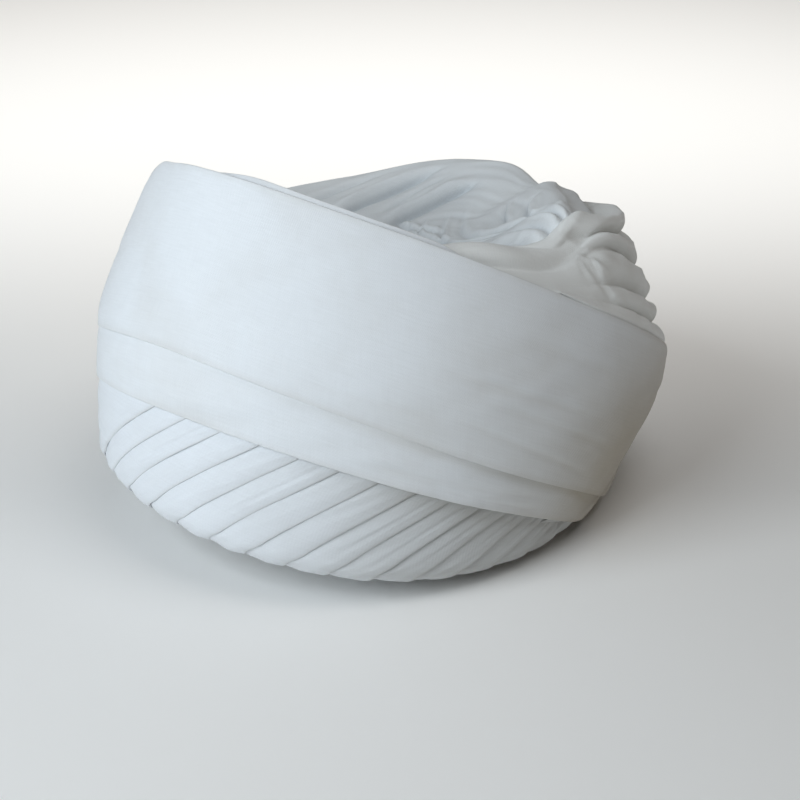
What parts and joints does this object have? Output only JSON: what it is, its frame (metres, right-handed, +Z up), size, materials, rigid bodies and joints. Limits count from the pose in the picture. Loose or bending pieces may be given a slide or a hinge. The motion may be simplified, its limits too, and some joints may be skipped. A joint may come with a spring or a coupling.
{
  "type": "turban",
  "caption": "White cloth turban, wound and ready to wear: a broad tilted outer wrap over slanting pleats, rolled folds behind and a dished gathered crown.",
  "frame": {"origin": "centre of the head opening at brow level", "axes": "+Z up, -Y toward the wearer's forehead, +X toward the wearer's left ear"},
  "size_m": [0.2592, 0.2879, 0.181],
  "materials": {
    "wrap_cloth": "matte plain weave cotton",
    "pleat_cloth": "matte plain weave cotton",
    "fold_cloth": "matte plain weave cotton",
    "crown_cloth": "matte crumpled cotton",
    "inner_cloth": "matte plain weave cotton"
  },
  "bodies": {
    "root": {"inner_wraps": "inner_cloth", "crown_cloth": "crown_cloth", "back_fold_1": "fold_cloth", "back_fold_2": "fold_cloth", "back_fold_3": "fold_cloth", "back_fold_4": "fold_cloth", "back_fold_5": "fold_cloth", "first_layer": "pleat_cloth", "pleat_01": "pleat_cloth", "pleat_02": "pleat_cloth", "pleat_03": "pleat_cloth", "pleat_04": "pleat_cloth", "pleat_05": "pleat_cloth", "pleat_06": "pleat_cloth", "pleat_07": "pleat_cloth", "pleat_08": "pleat_cloth", "pleat_09": "pleat_cloth", "pleat_10": "pleat_cloth", "pleat_11": "pleat_cloth", "pleat_12": "pleat_cloth", "pleat_13": "pleat_cloth", "pleat_14": "pleat_cloth", "pleat_15": "pleat_cloth", "second_wrap": "wrap_cloth", "under_wrap": "wrap_cloth", "broad_wrap": "wrap_cloth"}
  },
  "joints": []
}
